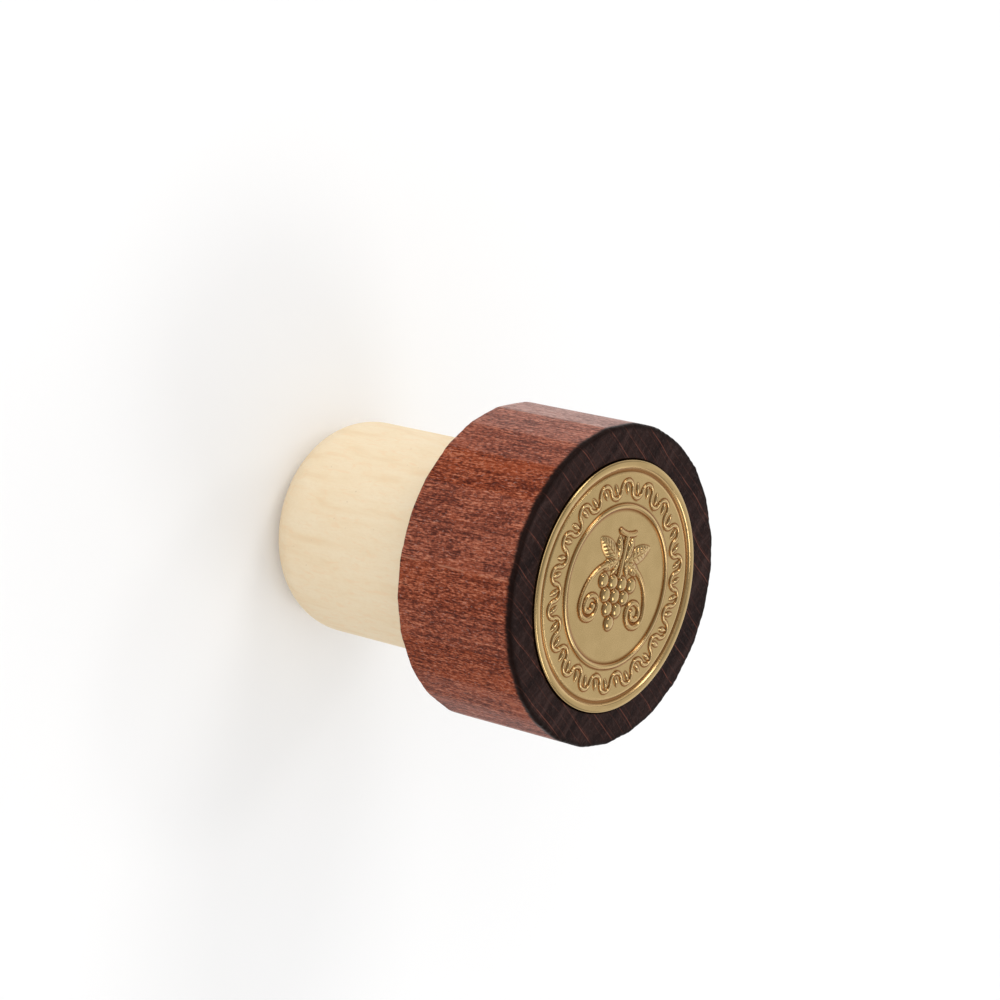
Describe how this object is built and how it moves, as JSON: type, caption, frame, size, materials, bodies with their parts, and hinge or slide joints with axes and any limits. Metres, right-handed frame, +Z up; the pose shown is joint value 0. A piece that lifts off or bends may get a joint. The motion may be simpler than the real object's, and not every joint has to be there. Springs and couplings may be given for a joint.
{
  "type": "bottle stopper",
  "caption": "Bar-top bottle stopper: straight plug shank glued into a turned wooden cap with a crowned metal medallion in its top face.",
  "frame": {"origin": "on the axis, in the plane of the cap's underside, which sits on the lip of the bottle", "axes": "+Z up the axis from the plug towards the medallion; +Y is the top of the medallion's motif"},
  "size_m": [0.0299, 0.03, 0.0352],
  "materials": {
    "cap_wood": "stained, satin",
    "medal_metal": "satin gold plate",
    "shank_foam": "matt, moulded foam"
  },
  "bodies": {
    "root": {"wooden_cap": "cap_wood", "medallion": "medal_metal", "shank": "shank_foam"}
  },
  "joints": []
}
